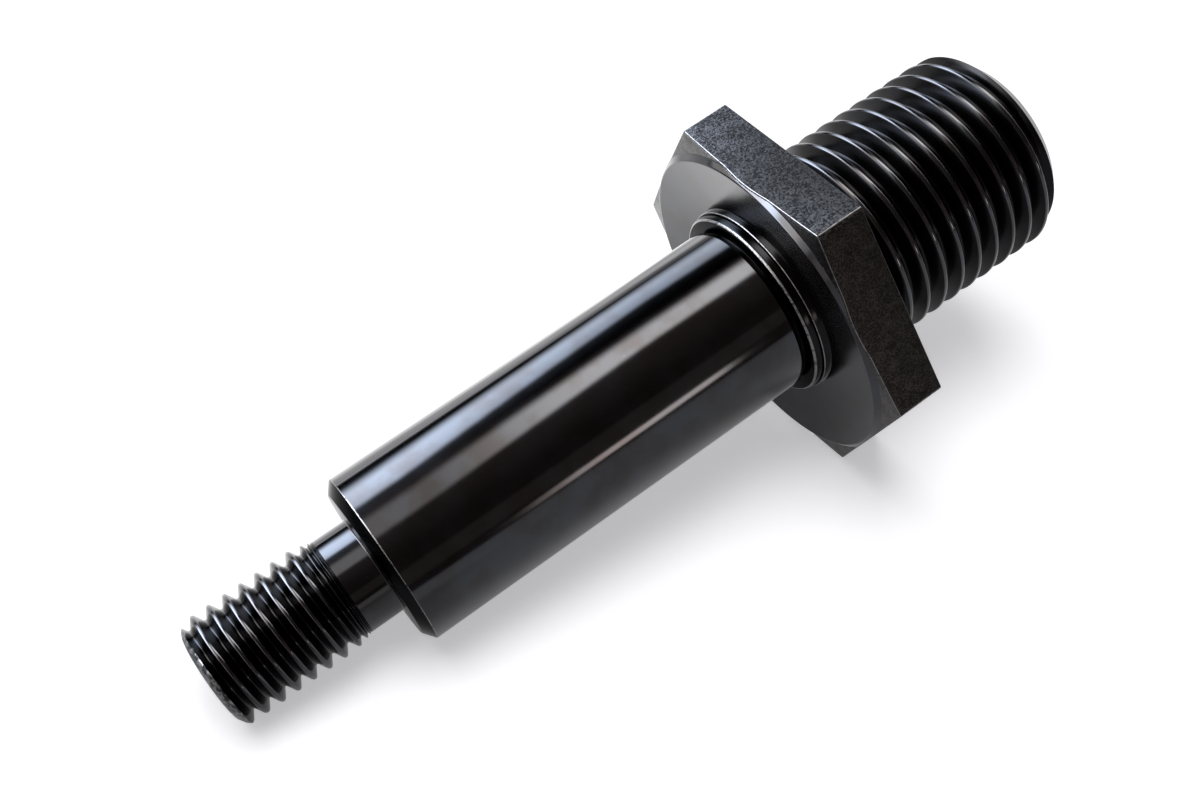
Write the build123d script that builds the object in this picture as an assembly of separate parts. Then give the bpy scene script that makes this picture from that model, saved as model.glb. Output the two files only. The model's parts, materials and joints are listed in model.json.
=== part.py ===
from build123d import *
import math
import os

# Turned stud with an off-the-bar hexagon collar, in millimetres.
# One piece of steel: small rolled thread, neck, shoulder, plain shank, two
# rings, hexagon collar and large thread, all on one turning axis.
# It is turned here along +Z, with the small thread's tip at Z = 0, and is
# laid down at the end as it comes to rest on a table.

# ---- Small thread, M10 x 1.5, and the neck behind it
small_thread_diameter = 9.95
small_thread_pitch = 1.5
small_thread_depth = 0.92
small_thread_length = 12.8
small_thread_start = 14.0  # degrees round from +X where the crest leaves the tip
tip_diameter = 6.9
tip_chamfer = 0.9
neck_diameter = 8.9
neck_length = 3.0
neck_fillet = 0.15

# ---- Shoulder and shank
shoulder_cone_diameter = 13.8
shoulder_cone_length = 0.1
shoulder_chamfer = 0.7
shank_diameter = 15.9
shank_length = 38.65

# ---- Relief groove and the two rings in front of the collar
groove_diameter = 15.1
groove_width = 0.6
front_ring_diameter = 17.9
front_ring_width = 0.85
front_ring_round = 0.35
back_ring_diameter = 18.3
back_ring_width = 0.85

# ---- Hexagon collar
hexagon_across_flats = 30.2
hexagon_thickness = 5.05
hexagon_corner_radius = 0.3
face_dish = 0.8  # how far the face falls inwards to the rings
face_rim_diameter = 29.7
face_bevel = 0.3
face_bevel_diameter = 30.7
corner_cone_angle = 6.0
collar_offset_x = -0.48  # the hexagon bar ran this far off the turning axis
collar_offset_y = -0.36

# ---- Large thread, M20 x 2
large_thread_diameter = 19.7
large_thread_pitch = 2.0
large_thread_depth = 1.2
large_thread_length = 22.6
large_thread_start = 160.0  # degrees round from +X where the crest leaves the collar
end_diameter = 16.2
end_chamfer = 1.6

# ---- Thread form
flank_angle = 30.0
crest_flat_share = 0.16  # of the pitch
thread_root_bury = 0.15  # how deep the ridge's base lies in the core
thread_run_out = 0.6  # length of the cone that ends the small thread at the neck

# ---- Stations along the turning axis, from the small thread's tip
neck_start = small_thread_length
shoulder_start = neck_start + neck_length
shoulder_cone_end = shoulder_start + shoulder_cone_length
shank_start = shoulder_cone_end + shoulder_chamfer
groove_start = shank_start + shank_length
front_ring_start = groove_start + groove_width
back_ring_start = front_ring_start + front_ring_width
face_plane = back_ring_start
collar_back = face_plane + hexagon_thickness
large_end = collar_back + large_thread_length

small_crest_radius = small_thread_diameter / 2
small_root_radius = small_crest_radius - small_thread_depth
large_crest_radius = large_thread_diameter / 2
large_root_radius = large_crest_radius - large_thread_depth
neck_radius = neck_diameter / 2
shank_radius = shank_diameter / 2
tip_radius = tip_diameter / 2
tip_slope = tip_chamfer / (small_crest_radius - tip_radius)
end_radius = end_diameter / 2
end_slope = end_chamfer / (large_crest_radius - end_radius)
room_radius = large_crest_radius + 1  # of the outlines that trim the ridges


def turned(points, rounds=()):
    """A solid of revolution from (radius, height) points, with (point, radius) rounded corners."""
    first, last = points[0], points[-1]
    outline = Polyline((0, 0, first[1]), *[(r, 0, z) for r, z in points], (0, 0, last[1]), close=True)
    section = make_face(outline)
    for (r, z), radius in rounds:
        corner = section.vertices().sort_by_distance((r, 0, z))[0]
        section = fillet(corner, radius)
    return revolve(section, Axis.Z)


def front_body():
    """The small thread's core, the neck, the shoulder and the plain shank."""
    neck_root = (neck_radius, shoulder_start)
    return turned([
        (tip_radius, 0),
        (small_root_radius, tip_slope * (small_root_radius - tip_radius)),
        (small_root_radius, neck_start - thread_run_out),
        (neck_radius, neck_start),
        neck_root,
        (shoulder_cone_diameter / 2, shoulder_cone_end),
        (shank_radius, shank_start),
        (shank_radius, groove_start),
        (groove_diameter / 2, groove_start),
        (groove_diameter / 2, front_ring_start),
    ], [(neck_root, neck_fillet)])


def rings():
    """The front ring with its rounded rim, and the plain back ring."""
    front_rim = (front_ring_diameter / 2, front_ring_start)
    front_ring = turned([
        front_rim,
        (front_ring_diameter / 2, back_ring_start),
    ], [(front_rim, front_ring_round)])
    back_radius = back_ring_diameter / 2
    back_ring = turned([
        (back_radius, back_ring_start),
        (back_radius, back_ring_start + back_ring_width),
    ])
    return front_ring + back_ring


def collar():
    """The hexagon, with its dished face, bevel and shallow corner cone."""
    corner_radius = hexagon_across_flats / 2 / math.cos(math.pi / 6)
    hexagon = RegularPolygon(corner_radius, 6)
    hexagon = fillet(hexagon.vertices(), hexagon_corner_radius)
    bar = extrude(Plane.XY.offset(face_plane) * hexagon, hexagon_thickness)
    rim_radius = face_rim_diameter / 2
    bevel_radius = face_bevel_diameter / 2
    bevel_height = face_plane + face_bevel
    outer_radius = corner_radius + 1
    cone_rise = (outer_radius - bevel_radius) * math.tan(math.radians(corner_cone_angle))
    turned_shape = turned([
        (rim_radius, face_plane),
        (bevel_radius, bevel_height),
        (outer_radius, bevel_height + cone_rise),
        (outer_radius, collar_back),
    ])
    ring_radius = back_ring_diameter / 2
    dish_slope = face_dish / (rim_radius - ring_radius)
    dish = turned([
        (rim_radius, face_plane),
        (0.001, face_plane + dish_slope * rim_radius),
    ])
    return Pos(collar_offset_x, collar_offset_y, 0) * ((bar & turned_shape) - dish)


def thread(pitch, crest_radius, depth, start, end, angle):
    """A right-hand ridge whose crest crosses height start at the given angle."""
    base_radius = crest_radius - depth - thread_root_bury
    half_crest = pitch * crest_flat_share / 2
    half_base = half_crest + (depth + thread_root_bury) * math.tan(math.radians(flank_angle))
    turns = math.ceil((end - start) / pitch) + 2
    first = start - pitch
    path = Helix(pitch, turns * pitch, base_radius)
    outline = Polyline(
        (base_radius, 0, -half_base),
        (crest_radius, 0, -half_crest),
        (crest_radius, 0, half_crest),
        (base_radius, 0, half_base),
        close=True,
    )
    ridge = sweep(make_face(outline), path=path, is_frenet=True)
    return Pos(0, 0, first) * Rot(0, 0, angle) * ridge


def small_thread():
    """The small thread's ridge, cut to the tip's chamfer and run out at the neck."""
    ridge = thread(
        small_thread_pitch, small_crest_radius, small_thread_depth, 0, neck_start, small_thread_start
    )
    room = turned([
        (tip_radius, 0),
        (room_radius, tip_slope * (room_radius - tip_radius)),
        (room_radius, neck_start - thread_run_out),
        (neck_radius - thread_root_bury, neck_start),
    ])
    return ridge & room


def large_thread():
    """The large thread's ridge, from inside the collar to the end's chamfer."""
    ridge = thread(
        large_thread_pitch, large_crest_radius, large_thread_depth, collar_back, large_end,
        large_thread_start,
    )
    room = turned([
        (room_radius, collar_back - large_thread_pitch / 2),
        (room_radius, large_end - end_slope * (room_radius - end_radius)),
        (end_radius, large_end),
    ])
    return ridge & room


def large_core():
    """The large thread's core, from the dish of the collar to the end."""
    core_end = large_end - max(0, end_slope * (large_root_radius - end_radius))
    return turned([
        (large_root_radius, front_ring_start),
        (large_root_radius, core_end),
        (min(end_radius, large_root_radius), large_end),
    ])


def front_edge_height():
    """Height of the collar's front edge at the middle of its lower flat."""
    bevel_span = (face_bevel_diameter - face_rim_diameter) / 2
    share = (hexagon_across_flats - face_rim_diameter) / 2 / bevel_span
    return face_plane + face_bevel * min(max(share, 0), 1)


def low_crest_height():
    """Height of the first full crest of the small thread straight under the axis."""
    below = 270
    height = small_thread_pitch * ((below - small_thread_start) % 360) / 360
    missing = max(0, tip_chamfer - height)
    return height + small_thread_pitch * math.ceil(missing / small_thread_pitch)


def laid_down(stud):
    """The stud at rest on the lower flat's front edge and the low crest."""
    drop = hexagon_across_flats / 2 - collar_offset_y - small_crest_radius
    tilt = math.atan2(drop, front_edge_height() - low_crest_height())
    lying = Plane((0, 0, 0), x_dir=(0, 1, 0), z_dir=(math.cos(tilt), 0, math.sin(tilt)))
    stud = lying.location * stud
    box = stud.bounding_box()
    foot = Pos(-(box.min.X + box.max.X) / 2, -(box.min.Y + box.max.Y) / 2, -box.min.Z)
    return foot * stud


stud = front_body() + rings() + collar() + large_core() + small_thread() + large_thread()
stud = laid_down(stud)
stud.label = "hex_collar_stud"

os.makedirs("parts", exist_ok=True)
export_step(stud, "parts/hex_collar_stud.step")
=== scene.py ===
# %% [markdown]
# # A turned steel stud with a hexagon collar
# The stud is one bar of steel: a small thread, a neck, a long plain shank, two rings, a thin hexagon
# collar and a thick thread. It was blackened after it was cut, so its turned faces shine like dark
# glass and the collar's flats, left as the bar came, look grainy.
# Four meshes stand for the one solid of the construction model. Each is turned upright on the Z axis,
# in millimetres, as on a lathe, and then laid down where the construction model lies.

# %% Load the construction model
import json
import math

import bmesh
import bpy
from mathutils import Matrix, Vector


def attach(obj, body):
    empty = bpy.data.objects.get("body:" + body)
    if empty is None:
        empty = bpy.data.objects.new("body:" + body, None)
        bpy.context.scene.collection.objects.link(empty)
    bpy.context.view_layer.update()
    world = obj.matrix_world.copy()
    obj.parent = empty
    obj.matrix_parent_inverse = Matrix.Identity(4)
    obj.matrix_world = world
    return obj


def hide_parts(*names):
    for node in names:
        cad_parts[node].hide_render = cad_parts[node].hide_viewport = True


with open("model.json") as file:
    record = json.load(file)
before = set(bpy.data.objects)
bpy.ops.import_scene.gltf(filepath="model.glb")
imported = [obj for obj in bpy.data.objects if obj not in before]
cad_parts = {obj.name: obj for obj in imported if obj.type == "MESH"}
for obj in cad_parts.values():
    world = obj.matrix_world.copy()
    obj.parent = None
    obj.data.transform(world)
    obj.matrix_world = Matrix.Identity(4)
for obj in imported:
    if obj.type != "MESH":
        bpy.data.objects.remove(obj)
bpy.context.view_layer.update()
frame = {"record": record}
NODE = "hex_collar_stud"
BODY = "root"

# %% [markdown]
# The record's mounts say where the turning axis lies and how long the threads and the shank are. From
# them comes one matrix that carries the lathe's upright millimetres to the stud's place on the table.
# Reading it from the record ties the looks to the construction model without any fitting by eye.
# The record gives the shank as 38.45 long, 0.2 less than the model has. So the shoulder's edge, the
# groove, the rings and the collar's face each lie 0.1 off the model's here.

# %% The lathe's place
MM = 0.001
HAIR = 0.001  # millimetres that keep rounded numbers inside the construction model
mounts = {mount["name"]: mount for mount in frame["record"]["mounts"]}
small_length = mounts["small_thread"]["dims"]["length_mm"]
small_radius = mounts["small_thread"]["dims"]["r_mm"]
shank_radius = mounts["shank"]["dims"]["r_mm"]
shank_length = mounts["shank"]["dims"]["length_mm"]
large_length = mounts["large_thread"]["dims"]["length_mm"]
large_radius = mounts["large_thread"]["dims"]["r_mm"]

axis = Vector(mounts["large_thread"]["axis"]).normalized()
tip = Vector(mounts["small_thread"]["pos_m"]) - axis * small_length / 2 * MM
across = Vector((0, 1, 0))
upward = axis.cross(across)
LAID = Matrix.Translation(tip) @ Matrix((across, upward, axis)).transposed().to_4x4()


def height_of(point):
    """How far a point lies along the turning axis from the small thread's tip, in millimetres."""
    return (Vector(point) - tip).dot(axis) / MM


shank_middle = height_of(mounts["shank"]["pos_m"])
shank_start = shank_middle - shank_length / 2
groove_start = shank_middle + shank_length / 2
collar_back = height_of(mounts["collar_seat"]["pos_m"])
large_end = collar_back + large_length - HAIR
print("shank", round(shank_start, 2), "to", round(groove_start, 2), "collar back", round(collar_back, 2))

# %% [markdown]
# Every turned part is a profile carried round the axis. A helper draws the profile as a chain of edges,
# rounds its corners with the bevel operator, and spins it. Rounding the corners before the spin costs
# three points for each corner, and it is what catches a thin line of light on a real machined edge.

# %% Turning helpers
TURN_STEPS = 224


def profile_chain(bm, points, segments=4):
    """A chain of edges through (radius, height, rounding) points, with rounded corners."""
    verts = [bm.verts.new((r, 0, z)) for r, z, _ in points]
    for pair in zip(verts, verts[1:]):
        bm.edges.new(pair)
    for vert, (_, _, rounding) in zip(verts, points):
        if rounding:
            bmesh.ops.bevel(
                bm, geom=[vert], offset=rounding, offset_type="OFFSET", segments=segments,
                profile=0.5, affect="VERTICES", material=-1,
            )
    return bm


def turned(points):
    """A closed solid turned from a profile whose ends lie on the axis."""
    bm = profile_chain(bmesh.new(), points)
    bmesh.ops.spin(
        bm, geom=bm.verts[:] + bm.edges[:], cent=(0, 0, 0), axis=(0, 0, 1), angle=math.tau,
        steps=TURN_STEPS, use_merge=True,
    )
    bmesh.ops.remove_doubles(bm, verts=bm.verts, dist=1e-4)
    bmesh.ops.recalc_face_normals(bm, faces=bm.faces)
    return bm


def finished(bm, name, materials):
    """The mesh laid in its place, as a smooth-shaded object that rides on the stud."""
    bm.transform(LAID @ Matrix.Scale(MM, 4))
    for face in bm.faces:
        face.smooth = True
    mesh = bpy.data.meshes.new(name)
    bm.to_mesh(mesh)
    bm.free()
    piece = bpy.data.objects.new(name, mesh)
    bpy.context.scene.collection.objects.link(piece)
    for material in materials:
        mesh.materials.append(material)
    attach(piece, BODY)
    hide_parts(NODE)
    triangles = sum(len(face.vertices) - 2 for face in mesh.polygons)
    print(name, triangles, "triangles")
    return piece


def keep_sharp(piece, degrees):
    """Edges that turn more than this stay crisp under the smooth shading."""
    piece.data.set_sharp_from_angle(angle=math.radians(degrees))

# %% [markdown]
# The materials are written as plain arithmetic. One small class wraps a node's output and turns +, -,
# * and / into Math nodes, so a mask can be read like a formula. Patterns are laid in the lathe's own
# coordinates, because turning marks run round the axis and the table's axes say nothing about them.

# %% Shader arithmetic
class Value:
    """A shader value that adds its Math nodes as it is used in an expression."""

    def __init__(self, tree, socket):
        self.tree = tree
        self.socket = socket

    def math(self, operation, *others):
        return self.tree.node("ShaderNodeMath", {"operation": operation}, [self, *others])

    def __add__(self, other):
        return self.math("ADD", other)

    def __sub__(self, other):
        return self.math("SUBTRACT", other)

    def __mul__(self, other):
        return self.math("MULTIPLY", other)

    def __truediv__(self, other):
        return self.math("DIVIDE", other)

    def __rsub__(self, other):
        return (self * -1) + other

    def step(self, low, high):
        """0 below low, 1 above high, and a soft step between them."""
        return self.tree.node(
            "ShaderNodeMapRange", {"interpolation_type": "SMOOTHSTEP"},
            {"Value": self, "From Min": low, "From Max": high},
        )


class Tree:
    """A node tree with one method that adds any node."""

    def __init__(self, owner):
        owner.use_nodes = True
        self.nodes = owner.node_tree.nodes
        self.links = owner.node_tree.links
        self.nodes.clear()

    def node(self, kind, settings=None, inputs=None, output=0):
        """Adds a node, sets it up, fills its sockets and gives back one of its outputs."""
        made = self.nodes.new(kind)
        for name, value in (settings or {}).items():
            setattr(made, name, value)
        pairs = inputs.items() if isinstance(inputs, dict) else enumerate(inputs or [])
        for key, value in pairs:
            if isinstance(value, Value):
                self.links.new(value.socket, made.inputs[key])
            else:
                made.inputs[key].default_value = value
        return Value(self, made.outputs[output]) if len(made.outputs) else None

    def mix(self, factor, first, second):
        """A colour between two colours."""
        return self.node(
            "ShaderNodeMix", {"data_type": "RGBA"}, {0: factor, 6: first, 7: second}, output=2
        )

    def blend(self, factor, first, second):
        """A shader between two shaders."""
        return self.node("ShaderNodeMixShader", inputs=[factor, first, second])


def lathe_place(tree):
    """Object coordinates turned back upright on the lathe, in millimetres."""
    seen = tree.node("ShaderNodeTexCoord", output=3)
    return tree.node("ShaderNodeMapping", {"vector_type": "TEXTURE"}, {
        "Vector": seen, "Location": tip, "Rotation": LAID.to_euler(), "Scale": (MM, MM, MM),
    })


def scaled(colour, amount):
    """A colour made paler or darker."""
    return (*[channel * amount for channel in colour], 1)

# %% [markdown]
# Black oxide is a skin a thousandth of a millimetre thick. It is dark but mirror-smooth where a tool
# cut the steel, so the finish is a near-black metal with low roughness. What tells it from plastic is
# the turning: faint rings all round, slightly uneven, and a roughness that drifts along the bar. Here
# and there a pale fleck shows where the bath missed a spot.
# One recipe serves six surfaces. Flanks and rings are duller and darker, and thread crests, which get
# rubbed, are paler. The rim value turns down the sheen of a face seen edge-on, which would otherwise
# outshine the rings' thin bright lines.

# %% Finish of the turned faces
BLACK_OXIDE = (0.034, 0.035, 0.038, 1)
THICK_OXIDE = (0.031, 0.030, 0.031)
THIN_OXIDE = (0.037, 0.039, 0.043)
FLECK = (0.09, 0.09, 0.09, 1)


def turned_finish(name, roughness, ring_pitch, ring_depth, speckle, paleness=1.0, rim=1.0):
    """Black oxide on a turned face, with rings ring_pitch apart (in millimetres)."""
    material = bpy.data.materials.new(name)
    tree = Tree(material)
    place = lathe_place(tree)
    along = tree.node("ShaderNodeSeparateXYZ", inputs=[place], output=2)
    rings = tree.node("ShaderNodeTexNoise", {"noise_dimensions": "1D"}, {
        "W": along / ring_pitch, "Scale": 1.0, "Detail": 3.0, "Roughness": 0.6,
    })
    cloud = tree.node("ShaderNodeTexNoise", inputs={"Vector": place, "Scale": 0.35, "Detail": 4.0})
    grain = tree.node("ShaderNodeTexNoise", inputs={"Vector": place, "Scale": 9.0, "Detail": 2.0})
    uneven = tree.node("ShaderNodeBump", inputs={
        "Strength": 1.0, "Distance": MM, "Height": rings * ring_depth + grain * speckle,
    })
    thick, thin = scaled(THICK_OXIDE, paleness), scaled(THIN_OXIDE, paleness)
    tint = tree.mix(cloud.step(0.35, 0.65), thick, thin)
    flecks = tree.node("ShaderNodeTexVoronoi", inputs={"Vector": place, "Scale": 0.30})
    tint = tree.mix(flecks.step(0.018, 0.030), FLECK, tint)
    surface = tree.node("ShaderNodeBsdfPrincipled", inputs={
        "Base Color": tint, "Metallic": 1.0, "Roughness": cloud * 0.06 + (roughness - 0.03),
        "Specular Tint": (rim, rim, rim, 1), "Normal": uneven,
    })
    tree.node("ShaderNodeOutputMaterial", inputs=[surface])
    material.diffuse_color = BLACK_OXIDE
    return material


# Each line gives the name, roughness, ring pitch, ring depth, speckle and paleness.
bright_turned = turned_finish("blackened_turned_steel", 0.10, 0.12, 0.00012, 0.0003)
ringed = turned_finish("blackened_ring_steel", 0.16, 0.12, 0.0003, 0.0006, 0.24, rim=0.55)
faced = turned_finish("blackened_faced_steel", 0.24, 0.12, 0.0001, 0.0006)
thread_crest = turned_finish("rubbed_thread_crest", 0.14, 0.3, 0.0002, 0.0012, 1.4)
rolled_flank = turned_finish("blackened_rolled_flank", 0.13, 0.3, 0.0002, 0.0006, 0.50)
cut_flank = turned_finish("blackened_cut_flank", 0.20, 0.3, 0.0002, 0.0010, 0.24)
print("turned finishes", bright_turned.name, thread_crest.name)

# %% [markdown]
# The hexagon's flats are the skin of the drawn bar. They are peppered with tiny pits and high spots, so
# each flat breaks the light into grains: a fine bump, with paler steel on the high spots. The flat that
# lies uppermost is painted paler, as painted light where the lamp falls on it, and paler still near its
# two ends as painted glints.
# The corners' cone is the same steel with hardly any grain, because a tool has cut it.

# %% Finish of the collar's flats
PLAIN_LOW = (0.15, 0.14, 0.135)
PLAIN_HIGH = (0.50, 0.475, 0.47)
# Colours of the uppermost flat with painted light on it.
LIT_FLAT_LOW = (0.12, 0.122, 0.13)
LIT_FLAT_HIGH = (1.25, 1.27, 1.36)
FLAT_MIDDLE = -1.5  # where across the lathe the painted light on the uppermost flat is weakest
FLAT_REACH = 9.0


def bar_finish(name, roughness, pale, depth):
    """Black oxide on the drawn bar's own skin, grainy and duller than the turned faces."""
    material = bpy.data.materials.new(name)
    tree = Tree(material)
    place = lathe_place(tree)
    grains = tree.node("ShaderNodeTexNoise", inputs={
        "Vector": place, "Scale": 6.0, "Detail": 4.0, "Roughness": 0.7,
    })
    patches = tree.node("ShaderNodeTexNoise", inputs={"Vector": place, "Scale": 1.1, "Detail": 3.0})
    pits = tree.node("ShaderNodeTexVoronoi", inputs={"Vector": place, "Scale": 3.5})
    uneven = tree.node("ShaderNodeBump", inputs={
        "Strength": 1.0, "Distance": MM,
        "Height": grains * depth + patches * (depth * 0.8) + pits * (depth * 0.3),
    })
    sideways, up = (tree.node("ShaderNodeSeparateXYZ", inputs=[place], output=k) for k in (0, 1))
    # Painted light: the uppermost flat is paler where the lamp falls on it, and paler still towards its
    # two ends as painted glints.
    ends = (sideways - FLAT_MIDDLE).math("ABSOLUTE").step(0.0, FLAT_REACH)
    painted_light = up.step(14.3, 14.65) * (ends * 0.6 + 0.4)
    high_spot = (grains * 0.8 + patches * 0.2).step(0.42, 0.60)
    plain = tree.mix(high_spot, scaled(PLAIN_LOW, pale), scaled(PLAIN_HIGH, pale))
    pale_metal = tree.mix(high_spot, scaled(LIT_FLAT_LOW, pale), scaled(LIT_FLAT_HIGH, pale))
    tint = tree.mix(painted_light, plain, pale_metal)
    surface = tree.node("ShaderNodeBsdfPrincipled", inputs={
        "Base Color": tint, "Metallic": 1.0, "Roughness": patches * -0.2 + (roughness + 0.1),
        "Normal": uneven,
    })
    tree.node("ShaderNodeOutputMaterial", inputs=[surface])
    material.diffuse_color = BLACK_OXIDE
    return material


# Each line gives the name, roughness, paleness and depth of the grain.
drawn_bar = bar_finish("blackened_bar_skin", 0.34, 0.048, 0.030)
cut_corner = bar_finish("blackened_cut_corner", 0.34, 0.13, 0.006)
print("bar finishes", drawn_bar.name, cut_corner.name)

# %% [markdown]
# Handling wears black oxide through first on the tip that knocks against things, and in a dent on the
# large thread. There the bare steel shows, so a third finish is a brighter metal, broken up with specks
# of the black that is left. The same bright finish is also painted highlight: thin bright lines on the
# edges of the rings, the shoulder and the collar.

# %% Finish of worn spots and painted highlight lines
def wear_and_highlight_finish(name, pale_metal, left, roughness, size):
    """Bright steel with specks of black, for worn spots and for painted highlight on edges."""
    material = bpy.data.materials.new(name)
    tree = Tree(material)
    place = lathe_place(tree)
    specks = tree.node("ShaderNodeTexNoise", inputs={
        "Vector": place, "Scale": size, "Detail": 5.0, "Roughness": 0.6,
    })
    shows_bright = specks.step(left - 0.08, left + 0.08)
    tint = tree.mix(shows_bright, BLACK_OXIDE, (pale_metal, pale_metal, pale_metal, 1))
    uneven = tree.node("ShaderNodeBump", inputs={
        "Strength": 1.0, "Distance": MM, "Height": specks * 0.03,
    })
    surface = tree.node("ShaderNodeBsdfPrincipled", inputs={
        "Base Color": tint, "Metallic": 1.0, "Roughness": roughness, "Normal": uneven,
    })
    tree.node("ShaderNodeOutputMaterial", inputs=[surface])
    material.diffuse_color = BLACK_OXIDE
    return material


# Each line gives the name, the bright steel's paleness, the share left black, roughness and speck scale.
highlight_and_dent = wear_and_highlight_finish("worn_edge_steel", 0.12, 0.42, 0.30, 2.5)
worn_tip = wear_and_highlight_finish("worn_tip_steel", 0.23, 0.52, 0.34, 2.2)
print("wear and highlight finishes", highlight_and_dent.name, worn_tip.name)

# %% [markdown]
# The shank is the main turned part: the neck behind the small thread, a coned shoulder, the long plain
# cylinder, a narrow relief groove and two rings that stand against the collar. One profile makes them
# all. Its hidden ends close inside the neighbours, so the mesh is a solid of its own.
# The rings' outer edges and the shoulder's edge carry painted highlight: thin bright lines in the bright
# finish. The shoulder and all that lies past the groove take the duller ring finish.

# %% The shank, from neck to rings
neck_radius = 4.45
neck_start = small_length
shoulder_start = 15.8
cone_end = 15.9
cone_radius = 6.9
groove_radius = 7.55
groove_width = 0.6
front_ring_radius = 8.95
front_ring_width = 0.85
back_ring_radius = 9.15
back_ring_width = 0.85
junction_groove = 0.12
buried = 0.4
BRIGHT, DULL, PAINTED_HIGHLIGHT = range(3)  # the shank's finishes

front_ring_start = groove_start + groove_width
face_plane = front_ring_start + front_ring_width
back_ring_end = face_plane + back_ring_width

shank_profile = [
    (0, neck_start - 0.08, 0),
    (neck_radius - 0.02, neck_start - 0.08, 0),
    (neck_radius, neck_start + 0.05, 0),
    (neck_radius, shoulder_start, 0.12),
    (cone_radius, cone_end, 0.08),
    (shank_radius, shank_start, 0.10),
    (shank_radius, groove_start, 0.06),
    (groove_radius, groove_start + 0.05, 0.03),
    (groove_radius, front_ring_start - 0.02, 0.03),
    (front_ring_radius, front_ring_start, 0.30),
    (front_ring_radius, face_plane - 0.04, 0.06),
    (front_ring_radius - 0.1, face_plane, 0.03),
    (back_ring_radius, face_plane + 0.02, 0.12),
    (back_ring_radius, back_ring_end - 0.16, 0.05),
    (back_ring_radius - junction_groove, back_ring_end - 0.1, 0.03),
    (back_ring_radius - junction_groove, back_ring_end + buried, 0),
    (0, back_ring_end + buried, 0),
]


def shank_finish(middle):
    """Which of the shank's finishes covers the face with this middle."""
    reach = middle.xy.length
    # Painted highlight: thin bright lines on the rings' outer edges and on the shoulder's edge.
    front_edge_line = abs(middle.z - front_ring_start - 0.10) < 0.06 and reach > front_ring_radius - 0.2
    back_edge_line = 0 < middle.z - face_plane < 0.09 and reach > back_ring_radius - 0.09
    shoulder_line = abs(middle.z - shank_start) < 0.04
    if front_edge_line or back_edge_line or shoulder_line:
        return PAINTED_HIGHLIGHT
    on_shoulder = shoulder_start < middle.z < shank_start - 0.03
    return DULL if middle.z > groove_start or on_shoulder else BRIGHT


shank_bm = turned(shank_profile)
for face in shank_bm.faces:
    face.material_index = shank_finish(face.calc_center_median())
shank = finished(shank_bm, "shank", [bright_turned, ringed, highlight_and_dent])
keep_sharp(shank, 40)

# %% [markdown]
# A screw thread is one pitch of profile carried round and up at once. The spin operator does that when
# it is given a rise for every step, and where one turn's top edge meets the next turn's bottom edge the
# doubles are merged into one skin. Then the skin is pressed in: an outline says how far out the thread
# may reach at each height, which makes the chamfers at the ends. The skin is scored first where the
# outline bends, so that it folds there cleanly and never bulges past it.

# %% Thread helpers
FLANK = math.radians(30)
ON_FLANK, ON_CREST, WORN = range(3)  # both threads' finishes
SPIN_TURNS_BELOW = 2  # spare turns under the thread's start, which are cut away


def pitch_profile(radius, depth, pitch, crest_share, crest_round, root_round):
    """One pitch of the thread, from the middle of one root to the middle of the next."""
    half_crest = pitch * crest_share / 2
    half_base = half_crest + depth * math.tan(FLANK)
    root = radius - depth
    hold = crest_round * 1.6  # a point this far down the flank keeps the crest's rounding to the crest
    near_crest = half_crest + hold * math.tan(FLANK)
    return [
        (root, -pitch / 2, 0),
        (root, -half_base, root_round),
        (radius - hold, -near_crest, 0),
        (radius, -half_crest, crest_round),
        (radius, half_crest, crest_round),
        (radius - hold, near_crest, 0),
        (root, half_base, root_round),
        (root, pitch / 2, 0),
    ]


def screw(points, pitch, start, end, start_degrees, steps):
    """The skin of a right-hand thread whose crest crosses height start at start_degrees."""
    bm = profile_chain(bmesh.new(), points, segments=3)
    bmesh.ops.spin(
        bm, geom=bm.verts[:] + bm.edges[:], cent=(0, 0, 0), axis=(0, 0, 1), angle=math.tau,
        dvec=(0, 0, pitch / steps), steps=steps, use_merge=False,
    )
    turn = bm.verts[:] + bm.edges[:] + bm.faces[:]
    for _ in range(math.ceil((end - start) / pitch) + SPIN_TURNS_BELOW):
        turn = bmesh.ops.duplicate(bm, geom=turn)["geom"]
        lifted = [item for item in turn if isinstance(item, bmesh.types.BMVert)]
        bmesh.ops.translate(bm, verts=lifted, vec=(0, 0, pitch))
    bmesh.ops.remove_doubles(bm, verts=bm.verts, dist=1e-3)
    lowered = Matrix.Translation((0, 0, start - pitch * SPIN_TURNS_BELOW))
    bm.transform(lowered @ Matrix.Rotation(math.radians(start_degrees), 4, "Z"))
    return bm


def set_radius(vert, radius):
    """Moves a vertex to this distance from the axis."""
    flat = vert.co.xy.length
    vert.co.x *= radius / flat
    vert.co.y *= radius / flat


def scored(bm, heights):
    """Scores the skin at these heights, so that a later press can fold it there."""
    for height in heights:
        whole = bm.verts[:] + bm.edges[:] + bm.faces[:]
        bmesh.ops.bisect_plane(
            bm, geom=whole, dist=1e-5, plane_co=(0, 0, height), plane_no=(0, 0, 1)
        )


def cut_to(bm, start, end):
    """Cuts the skin square at both heights and closes it there."""
    for height, side in ((start, -1), (end, 1)):
        cut = bmesh.ops.bisect_plane(
            bm, geom=bm.verts[:] + bm.edges[:] + bm.faces[:], dist=1e-5, plane_co=(0, 0, height),
            plane_no=(0, 0, side), clear_outer=True,
        )
        rim = [item for item in cut["geom_cut"] if isinstance(item, bmesh.types.BMEdge)]
        bmesh.ops.contextual_create(bm, geom=rim)
    bmesh.ops.recalc_face_normals(bm, faces=bm.faces)

# %% [markdown]
# The small thread was rolled, so its crests and roots are round. Its last turns crowd together and fade
# out at the neck, where the rolling dies opened. Heights past that point are squeezed towards the neck
# and the ridges sink there to the bar's own radius. The tip is rounded over, and its edge is worn to
# patchy bare steel, because it is what knocks against things.

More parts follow.
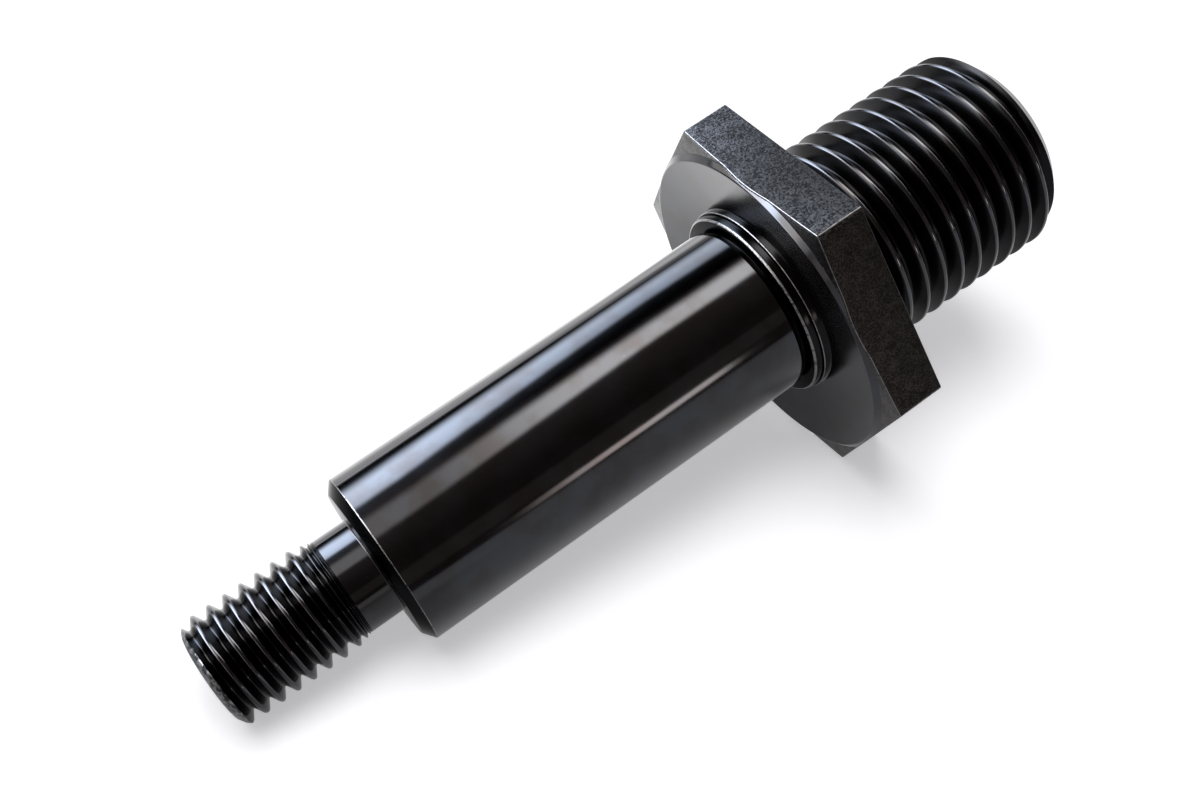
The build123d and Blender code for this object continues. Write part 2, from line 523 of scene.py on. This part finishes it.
# %% The small thread
small_pitch = 1.5
small_depth = 0.92
small_start_degrees = 14.0
tip_radius = 3.435
tip_chamfer = 0.9
tip_steepness = 5.2  # the most that the tip may swell per millimetre
crowd_start = 10.9
crowd_room = 1.9
fade_start = 10.4


def crowded(height):
    """Full lead up to crowd_start, and ever closer turns from there to the neck."""
    past = height - crowd_start
    return height if past < 0 else crowd_start + crowd_room * (1 - math.exp(-past / crowd_room))


def small_outline(height):
    """How far out the small thread may reach at a height."""
    share = min(max(height / tip_chamfer, 0), 1)
    rounded = math.sqrt(1 - (1 - share) ** 2)
    swell = (small_radius - HAIR - tip_radius) * (0.35 * share + 0.65 * rounded)
    return tip_radius + min(swell, tip_steepness * max(height, 0))


small = screw(
    pitch_profile(small_radius, small_depth, small_pitch, 0.17, 0.14, 0.12),
    small_pitch, 0, small_length + 2 * small_pitch, small_start_degrees, 112,
)
scored(small, (0, 0.05, 0.11, 0.25, 0.45, 0.65, tip_chamfer))
for vert in small.verts:
    reach = vert.co.xy.length
    vert.co.z = crowded(vert.co.z)
    fade = min(max((vert.co.z - fade_start) / (neck_start - fade_start), 0), 1)
    reach += (neck_radius - 0.01 - reach) * fade ** 1.5
    set_radius(vert, min(reach, small_outline(vert.co.z)))
cut_to(small, 0, neck_start)
for face in small.faces:
    middle = face.calc_center_median()
    on_crest = middle.xy.length > small_radius - 0.07
    on_tip = middle.z < 0.85 and middle.xy.length > small_outline(middle.z) - 0.08
    face.material_index = WORN if on_tip else ON_CREST if on_crest else ON_FLANK
small_thread = finished(small, "small_thread", [rolled_flank, thread_crest, worn_tip])
keep_sharp(small_thread, 32)

# %% [markdown]
# The large thread is cut deeper. Its skin starts inside the collar, so the ridge grows out of the back
# face, and the far end has a plain chamfer of a little over 45 degrees.
# One knock has left a small bright dent near that end.

# %% The large thread
large_pitch = 2.0
large_depth = 1.2
large_start_degrees = 160.0
end_radius = 8.1
end_chamfer = 1.6
dent_angle = math.radians(66)
dent_radius = 9.7
dent_height = 82.3
dent_reach = 0.6
dent_depth = 0.16
dent_bare = 0.45  # how far from its middle the dent is bright


def large_outline(height):
    """How far out the large thread may reach at a height."""
    share = min(max((large_end - height) / end_chamfer, 0), 1)
    return end_radius + (large_radius - end_radius) * share


large = screw(
    pitch_profile(large_radius, large_depth, large_pitch, 0.16, 0.10, 0.12),
    large_pitch, collar_back, large_end, large_start_degrees, 144,
)
scored(large, (large_end - end_chamfer, large_end - end_chamfer / 2, large_end))
for vert in large.verts:
    set_radius(vert, min(vert.co.xy.length, large_outline(vert.co.z)))
cut_to(large, collar_back - 1.0, large_end)
dent = Vector((
    dent_radius * math.cos(dent_angle), dent_radius * math.sin(dent_angle), dent_height
))
for face in large.faces:
    middle = face.calc_center_median()
    on_crest = middle.xy.length > large_radius - 0.05
    dented = (middle - dent).length < dent_bare
    face.material_index = WORN if dented else ON_CREST if on_crest else ON_FLANK
for vert in large.verts:
    near = max(0, 1 - (vert.co - dent).length / dent_reach)
    set_radius(vert, vert.co.xy.length - dent_depth * near ** 2)
large_thread = finished(large, "large_thread", [cut_flank, thread_crest, highlight_and_dent])
keep_sharp(large_thread, 32)

# %% [markdown]
# The collar is hexagon bar, faced off on the lathe. Its front is a slightly dished face with a bright
# bevelled rim, and past the rim the corners fall away in a shallow cone.
# The shape is grown from one ring of edges, extruded again and again. Each new ring takes its radius
# from the hexagon's outline, so the round rim and the six flats share the same columns of faces. Each
# band between two rings has a finish of its own. The outline's edges and corners carry painted
# highlight, thin bright lines in the bright finish.
# The collar is left out of what shiny faces mirror, so the shank shows the studio's bands unbroken.

# %% The collar
across_flats = 30.199  # a hair under the construction model's 30.2
corner_round = 0.3
collar_across = -0.48
collar_up = -0.36
face_dish = 0.8
rim_radius = 14.85
bevel_radius = 15.35
bevel_height = 0.45
corner_cone = math.radians(6)
front_edge = 0.10
back_edge = 0.05
hole_radius = 7.9
COLUMNS = 80
SECTOR = math.tau / 6
BEVEL, FLAT, CORNER_CONE, FACE, EDGE = range(5)  # the collar's finishes


def outline_radius(angle):
    """Distance from the collar's middle to its rounded hexagon outline."""
    off_corner = abs((angle + SECTOR / 2) % SECTOR - SECTOR / 2)
    corner_middle = (across_flats / 2 - corner_round) / math.cos(SECTOR / 2)
    reach = math.atan2(
        corner_round * math.sin(SECTOR / 2), corner_middle + corner_round * math.cos(SECTOR / 2)
    )
    if off_corner >= reach:
        return across_flats / 2 / math.cos(SECTOR / 2 - off_corner)
    side = corner_middle * math.sin(off_corner)
    return corner_middle * math.cos(off_corner) + math.sqrt(corner_round ** 2 - side ** 2)


def face_height(radius):
    """Height of the turned front at this distance from the collar's middle."""
    if radius < rim_radius:
        return face_plane + face_dish * (rim_radius - radius) / (rim_radius - back_ring_radius)
    bevel = min(radius - rim_radius, bevel_radius - rim_radius)
    cone = max(radius - bevel_radius, 0) * math.tan(corner_cone)
    return face_plane + bevel_height * bevel / (bevel_radius - rim_radius) + cone


def column_angle(column):
    """Columns crowd towards the corners, which need them for their rounding."""
    sector, within = divmod(column, COLUMNS)
    share = 2 * within / COLUMNS
    share = share if share <= 1 else share - 2
    return (sector + (0.1 * share + 0.9 * share ** 3) / 2) * SECTOR + (SECTOR if share < 0 else 0)

# %% [markdown]
# Each ring is a rule that gives a radius and a height for any angle. The front's rings are held inside
# the outline, the two edges' rings follow a quarter circle, and the last ones close the back.

# %% The collar's rings
def front_ring(radius, gap):
    """A ring on the turned front, held inside the outline by a small gap."""
    def place(angle):
        r = min(radius, outline_radius(angle) - gap)
        return r, face_height(r)
    return place


def outline_ring(inset, rise):
    """A ring on the front edge's rounding: this far in from the outline and up from the face."""
    def place(angle):
        r = outline_radius(angle)
        return r - inset, face_height(r) + rise
    return place


def back_ring(inset, drop):
    """A ring at the back of the collar."""
    return lambda angle: (outline_radius(angle) - inset, collar_back - drop)


def round_ring(radius, height):
    """A plain circle."""
    return lambda angle: (radius, height)


quarter = [math.sin(math.radians(a)) for a in (0, 22.5, 45, 67.5, 90)]
face_span = rim_radius - 0.1 - hole_radius
collar_rings = [front_ring(hole_radius + face_span * k / 6, 0.3) for k in range(7)]
collar_rings += [front_ring(rim_radius - 0.03, 0.24), front_ring(rim_radius + 0.03, 0.2)]
collar_rings += [front_ring(rim_radius + 0.09, 0.17), front_ring(bevel_radius - 0.06, 0.13)]
collar_rings += [front_ring(bevel_radius, 0.11), front_ring(bevel_radius + 0.06, 0.09)]
collar_rings += [outline_ring(front_edge * (1 - quarter[k]), front_edge * (1 - quarter[4 - k]))
                 for k in range(5)]
collar_rings += [back_ring(back_edge * (1 - quarter[4 - k]), back_edge * (1 - quarter[k]))
                 for k in range(5)]
collar_rings += [back_ring(0.4, 0), round_ring(hole_radius + 2, collar_back)]
collar_rings += [round_ring(hole_radius, collar_back)]
FLAT_BAND = 17  # between the front edge's rounding and the back edge's
CONE_BANDS = (11, 12)
FACE_BANDS = range(7)
# The edges' roundings, which carry painted highlight lines.
EDGE_BANDS = (14, 15, 18)
BAND_FINISH = {FLAT_BAND: FLAT}
BAND_FINISH.update({band: CORNER_CONE for band in CONE_BANDS})
BAND_FINISH.update({band: FACE for band in FACE_BANDS})
BAND_FINISH.update({band: EDGE for band in EDGE_BANDS})
corner_highlight = outline_radius(0) - 0.012  # the flats carry painted highlight past this distance from the middle

# %% [markdown]
# The rings are now laid one after another, and each band takes its finish as it is made. The last ring
# and the first are bridged by the wall of the hole, which lies hidden inside the stud.

# %% The collar, grown ring by ring
collar = bmesh.new()
count = 6 * COLUMNS
circle = bmesh.ops.create_circle(collar, cap_ends=False, radius=1, segments=count)["verts"]
circle.sort(key=lambda v: math.atan2(v.co.y, v.co.x) % math.tau)
angles = [column_angle(k) for k in range(count)]
angles.sort()


def set_ring(verts, place):
    """Puts one ring of vertices, in column order, where its rule says."""
    for vert, angle in zip(verts, angles):
        r, z = place(angle)
        vert.co = (r * math.cos(angle), r * math.sin(angle), z)


set_ring(circle, collar_rings[0])
ring = circle
for band, place in enumerate(collar_rings[1:]):
    edges = [collar.edges.get((ring[k], ring[(k + 1) % count])) for k in range(count)]
    made = bmesh.ops.extrude_edge_only(collar, edges=edges)["geom"]
    fresh = {v for v in made if isinstance(v, bmesh.types.BMVert)}
    ring = [next(e.other_vert(v) for e in v.link_edges if e.other_vert(v) in fresh) for v in ring]
    set_ring(ring, place)
    for face in (f for f in made if isinstance(f, bmesh.types.BMFace)):
        face.material_index = BAND_FINISH.get(band, BEVEL)
        # Painted highlight: the flats' faces at the rounded corners take the bright finish.
        if band == FLAT_BAND and face.calc_center_median().xy.length > corner_highlight:
            face.material_index = EDGE
edge_loops = [
    collar.edges.get((loop[k], loop[(k + 1) % count]))
    for loop in (circle, ring)
    for k in range(count)
]
bmesh.ops.bridge_loops(collar, edges=edge_loops)
bmesh.ops.translate(collar, verts=collar.verts, vec=(collar_across, collar_up, 0))
bmesh.ops.recalc_face_normals(collar, faces=collar.faces)
collar_finishes = [bright_turned, drawn_bar, cut_corner, faced, highlight_and_dent]
collar_piece = finished(collar, "hexagon_collar", collar_finishes)
collar_piece.visible_glossy = False
keep_sharp(collar_piece, 50)

# %% [markdown]
# The floor is plain white paper. Lit plainly it would come out pale grey, so to the camera it also
# glows a little, which lifts it to white and still leaves the stud's soft shadow on it. Beyond the
# shadow's reach it is white to the camera, so it joins the white room without a line.
# The stud's underside mirrors the paper, and one even tone there would look flat. So shiny faces see
# a lit patch behind the stud, pale paper farther back, and a dim patch past the small thread.

# %% Floor
FLOOR_HALF = 1.5


def paper_finish():
    """White paper that shows white to the camera, and patches of light and shade to shiny faces."""
    material = bpy.data.materials.new("white_paper")
    tree = Tree(material)

    def glow(strength, colour=(1, 1, 1, 1)):
        return tree.node("ShaderNodeEmission", inputs={"Color": colour, "Strength": strength})

    def together(first, second):
        return tree.node("ShaderNodeAddShader", inputs=[first, second])

    paper = tree.node("ShaderNodeBsdfDiffuse", inputs={"Color": (0.84, 0.83, 0.85, 1)})
    lift = glow(0.42, (1, 0.99, 1.01, 1))
    lit_paper = glow(1.35)
    plain_paper = glow(0.22, (1, 0.98, 1, 1))
    shaded_paper = glow(0.12, (1, 0.98, 1, 1))

    place = tree.node("ShaderNodeTexCoord", output=3)
    x, y = (tree.node("ShaderNodeSeparateXYZ", inputs=[place], output=k) for k in (0, 1))
    lit = y.step(0.002, 0.030) * (1 - y.step(0.055, 0.090))
    lit = lit * (1 - x.step(0.018, 0.032)) * (x.step(-0.020, 0.012) * 0.4 + 0.6)
    lit = lit + y.step(0.065, 0.12) * 0.8
    shaded = y.step(-0.060, -0.030) * (1 - (x + y * 0.45).step(-0.065, -0.025))
    mirrored = together(paper, tree.blend(lit, plain_paper, lit_paper))
    mirrored = tree.blend(shaded, mirrored, shaded_paper)

    camera = tree.node("ShaderNodeLightPath", output=0)
    glossy = tree.node("ShaderNodeLightPath", output=3)
    near = together(paper, tree.blend(camera, glow(0.0), lift))
    distant = tree.blend(camera, paper, glow(1.0))
    reach = tree.node("ShaderNodeVectorMath", {"operation": "LENGTH"}, [place], output=1)
    direct = tree.blend(reach.step(0.15, 0.40), near, distant)
    tree.node("ShaderNodeOutputMaterial", inputs=[tree.blend(glossy, direct, mirrored)])
    return material


sheet = bmesh.new()
bmesh.ops.create_grid(sheet, x_segments=1, y_segments=1, size=FLOOR_HALF)
floor_mesh = bpy.data.meshes.new("floor")
sheet.to_mesh(floor_mesh)
sheet.free()
floor_mesh.materials.append(paper_finish())
floor = bpy.data.objects.new("floor", floor_mesh)
bpy.context.scene.collection.objects.link(floor)

# %% [markdown]
# A black mirror shows its surroundings and hardly any colour of its own, so the studio is drawn as
# carefully as the part. Shiny faces see a dark room with soft lights in it. The lights are written by
# their angle about the bar's axis, because that is what sorts them into bands along a cylinder: 0 is
# straight up and positive angles are behind the stud. How far a direction points along the axis then
# bends each band or ends it.

# %% Studio seen in the metal
WINDOW_TINT = (0.90, 1.0, 1.17)
PANEL_TINT = (1.05, 1.0, 0.95)
STRIP_TINT = (1.16, 1.0, 0.92)
HAZE_TINT = (1.25, 1.0, 0.95)
HORIZON_TINT = (1.0, 1.0, 1.05)
WHITE = (1, 1, 1, 1)


def studio():
    """A white room to the camera, and a dark one with soft lights to shiny faces."""
    world = bpy.data.worlds.new("studio")
    bpy.context.scene.world = world
    world.cycles.sampling_method = "NONE"
    tree = Tree(world)
    way = tree.node("ShaderNodeTexCoord", output=0)

    def vector(operation, inputs, output=0):
        return tree.node("ShaderNodeVectorMath", {"operation": operation}, inputs, output)

    def along(direction):
        return vector("DOT_PRODUCT", [way, direction], output=1)

    def tinted(colour, strength):
        return vector("SCALE", {0: colour, 3: strength})

    def between(value, low, high, softness):
        past_low = value.step(low - softness, low + softness)
        return past_low * (1 - value.step(high - softness, high + softness))

    def background(colour, strength):
        return tree.node("ShaderNodeBackground", inputs={"Color": colour, "Strength": strength})

    raw = along(axis)
    lengthwise = raw.math("MAXIMUM", 0.0).math("MINIMUM", 0.36)
    about = along(across).math("ARCTAN2", along(upward)) * math.degrees(1)

    # A wide window behind the stud, with a fainter sky round it. Both dim towards the large thread.
    low_edge = about - lengthwise * 48
    window = low_edge.step(30, 38.5) * (1 - (about - lengthwise * 34).step(56, 75))
    window = window * (low_edge.step(30, 52) * 0.28 + 0.72) * (lengthwise * -24 + 15.8)
    sky = low_edge.step(14, 34) * (1 - about.step(70, 80)) * (0.6 - lengthwise * 1.5)
    window = (window + sky) * (1 - raw.step(0.48, 0.58) * 0.8)

    # A softer panel overhead.
    panel = 1 - (about - lengthwise * 11).step(8, 20.5)
    panel = panel * (about - lengthwise * 26).step(-15.5, -8.3)
    panel = panel * (lengthwise.step(0.0, 0.3) * 7.4 + 2.2)

    # Two lights past the small thread, which the collar's face, its bevel and the tip look towards.
    side = about.step(0, 16) * (1 - (about - raw * 78).step(116, 132))
    side = side * (1 - raw.step(-0.50, -0.32)) * 8
    front = between(about, -125, -22, 10) * between(raw, -0.965, -0.78, 0.02) * 1.3

    # A thin strip low in front, a faint haze above it, and the pale horizon behind.
    strip = between(about, -90, -83.8, 1.4) * lengthwise.step(0.06, 0.27)
    strip = strip * (1 - raw.step(0.40, 0.44)) * 7.5
    haze = between(about, -80, -62, 2.0) * 0.14 + about.step(-50, -8) * 0.16 + 0.09
    haze = haze * (1 - about.step(20, 30))
    horizon = about.step(84, 91) * (3.6 - lengthwise * 8)

    lights = tinted(WINDOW_TINT, window)
    others = (
        (PANEL_TINT, panel + side + front), (STRIP_TINT, strip), (HAZE_TINT, haze),
        (HORIZON_TINT, horizon),
    )
    for colour, strength in others:
        lights = vector("ADD", [lights, tinted(colour, strength)])
    camera = tree.node("ShaderNodeLightPath", output=0)
    glossy = tree.node("ShaderNodeLightPath", output=3)
    unseen = tree.blend(glossy, background(WHITE, 0.24), background(lights, 1.0))
    whole = tree.blend(camera, unseen, background(WHITE, 1.0))
    tree.node("ShaderNodeOutputWorld", inputs=[whole])


studio()

# %% [markdown]
# A large soft lamp behind and above lays the stud's shadow towards the viewer's right. It is hidden
# from shiny faces, which already see the studio's own lights.

# %% Lamp
def soft_lamp(name, place, size, power):
    """A square lamp that looks at the stud's middle."""
    light = bpy.data.lights.new(name, "AREA")
    light.size = size
    light.energy = power
    lamp = bpy.data.objects.new(name, light)
    lamp.location = place
    lamp.rotation_euler = Vector(place).to_track_quat("Z", "Y").to_euler()
    lamp.visible_glossy = False
    bpy.context.scene.collection.objects.link(lamp)


soft_lamp("overhead", (-0.05, 0.03, 0.80), 0.58, 5.0)

# %% [markdown]
# The camera looks down on the stud from beyond its small thread, with the lens and distance that make
# the near thread and the collar the right size against each other.

# %% Camera
IMAGE_WIDTH = 1200
FOCAL_PIXELS = 1456.9
camera_data = bpy.data.cameras.new("camera")
camera_data.sensor_width = 36
camera_data.lens = FOCAL_PIXELS / IMAGE_WIDTH * camera_data.sensor_width
camera_data.clip_start = 0.01
camera = bpy.data.objects.new("camera", camera_data)
camera.location = (-0.04911, -0.07314, 0.10336)
camera.rotation_euler = [math.radians(a) for a in (43.793, 2.376, -34.336)]
bpy.context.scene.collection.objects.link(camera)
bpy.context.scene.camera = camera
bpy.context.scene.view_settings.view_transform = "Standard"
